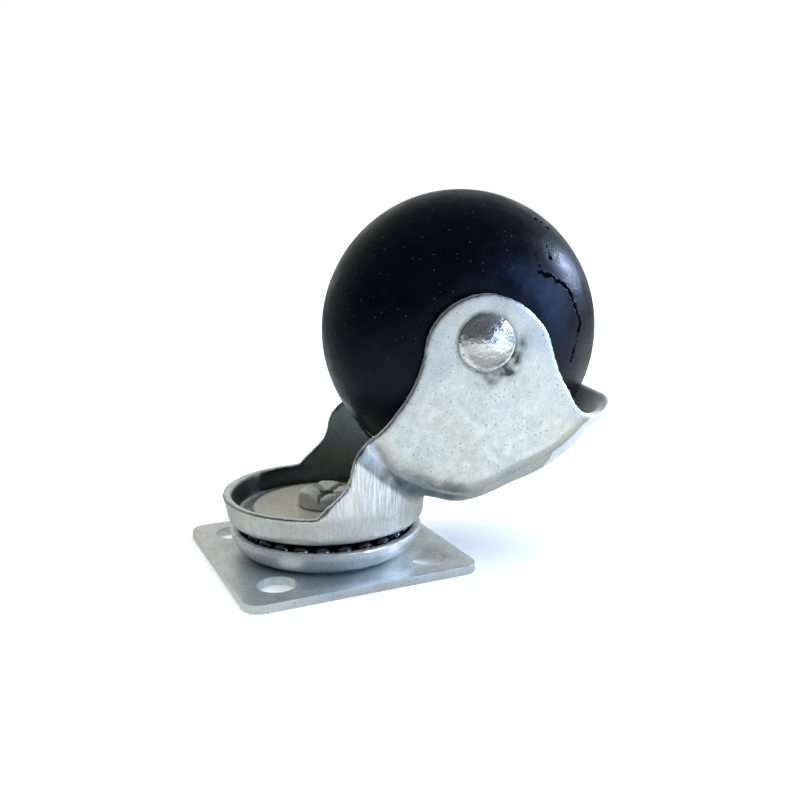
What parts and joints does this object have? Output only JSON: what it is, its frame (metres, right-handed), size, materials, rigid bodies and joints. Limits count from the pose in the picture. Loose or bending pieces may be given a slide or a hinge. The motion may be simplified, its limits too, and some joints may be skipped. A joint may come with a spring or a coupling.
{
  "type": "nylon castor",
  "caption": "Light swivel plate castor: crowned black nylon wheel in a pressed zinc-plated fork that turns on two rings of balls over a square four-hole plate.",
  "frame": {"origin": "centre of the four-hole pattern, on the plate's mounting face and on the swivel axis", "axes": "+Z from the mounting face towards the wheel, X and Y along the plate's edges; at rest the fork trails towards +X, turned 14 degrees towards -Y"},
  "size_m": [0.0723, 0.0492, 0.066],
  "materials": {
    "zinc_plate": "bright zinc plating on pressed sheet steel",
    "zinc_dish": "bright zinc plating, cut rim with a fine burr",
    "zinc_washer": "dull warm zinc plating",
    "pin_steel": "dull zinc plating, torn where it is folded over",
    "zinc_fork": "bright zinc plating with draw marks",
    "rivet_steel": "polished dome",
    "ball_steel": "greased hardened steel",
    "black_nylon": "semi-gloss moulded nylon with a split near the edge"
  },
  "bodies": {
    "base": {"plate": "zinc_plate", "race_dish": "zinc_dish", "race_washer": "zinc_washer", "kingpin": "pin_steel"},
    "fork": {"fork": "zinc_fork", "axle_rivet": "rivet_steel"},
    "wheel": {"wheel": "black_nylon"},
    "lower_ball_ring": {"lower_ball_01": "ball_steel", "lower_ball_02": "ball_steel", "lower_ball_03": "ball_steel", "lower_ball_04": "ball_steel", "lower_ball_05": "ball_steel", "lower_ball_06": "ball_steel", "lower_ball_07": "ball_steel", "lower_ball_08": "ball_steel", "lower_ball_09": "ball_steel", "lower_ball_10": "ball_steel", "lower_ball_11": "ball_steel", "lower_ball_12": "ball_steel", "lower_ball_13": "ball_steel", "lower_ball_14": "ball_steel", "lower_ball_15": "ball_steel", "lower_ball_16": "ball_steel", "lower_ball_17": "ball_steel", "lower_ball_18": "ball_steel", "lower_ball_19": "ball_steel", "lower_ball_20": "ball_steel", "lower_ball_21": "ball_steel", "lower_ball_22": "ball_steel", "lower_ball_23": "ball_steel", "lower_ball_24": "ball_steel"},
    "upper_ball_ring": {"upper_ball_01": "ball_steel", "upper_ball_02": "ball_steel", "upper_ball_03": "ball_steel", "upper_ball_04": "ball_steel", "upper_ball_05": "ball_steel", "upper_ball_06": "ball_steel", "upper_ball_07": "ball_steel", "upper_ball_08": "ball_steel", "upper_ball_09": "ball_steel", "upper_ball_10": "ball_steel", "upper_ball_11": "ball_steel", "upper_ball_12": "ball_steel", "upper_ball_13": "ball_steel", "upper_ball_14": "ball_steel", "upper_ball_15": "ball_steel", "upper_ball_16": "ball_steel"}
  },
  "joints": [
    {"name": "swivel", "type": "hinge", "parent": "base", "child": "fork", "pos_m": [0, 0, 0], "axis": [0, 0, 1], "continuous": true},
    {"name": "wheel_spin", "type": "hinge", "parent": "fork", "child": "wheel", "pos_m": [0.02435, -0.00607, 0.041], "axis": [0.2419, 0.9703, 0], "continuous": true},
    {"name": "lower_balls_orbit", "type": "hinge", "parent": "base", "child": "lower_ball_ring", "pos_m": [0, 0, 0], "axis": [0, 0, 1], "continuous": true},
    {"name": "upper_balls_orbit", "type": "hinge", "parent": "base", "child": "upper_ball_ring", "pos_m": [0, 0, 0], "axis": [0, 0, 1], "continuous": true}
  ],
  "couplings": [
    {"joint": "lower_balls_orbit", "follows": "swivel", "ratio": 0.5},
    {"joint": "upper_balls_orbit", "follows": "swivel", "ratio": 0.5}
  ]
}
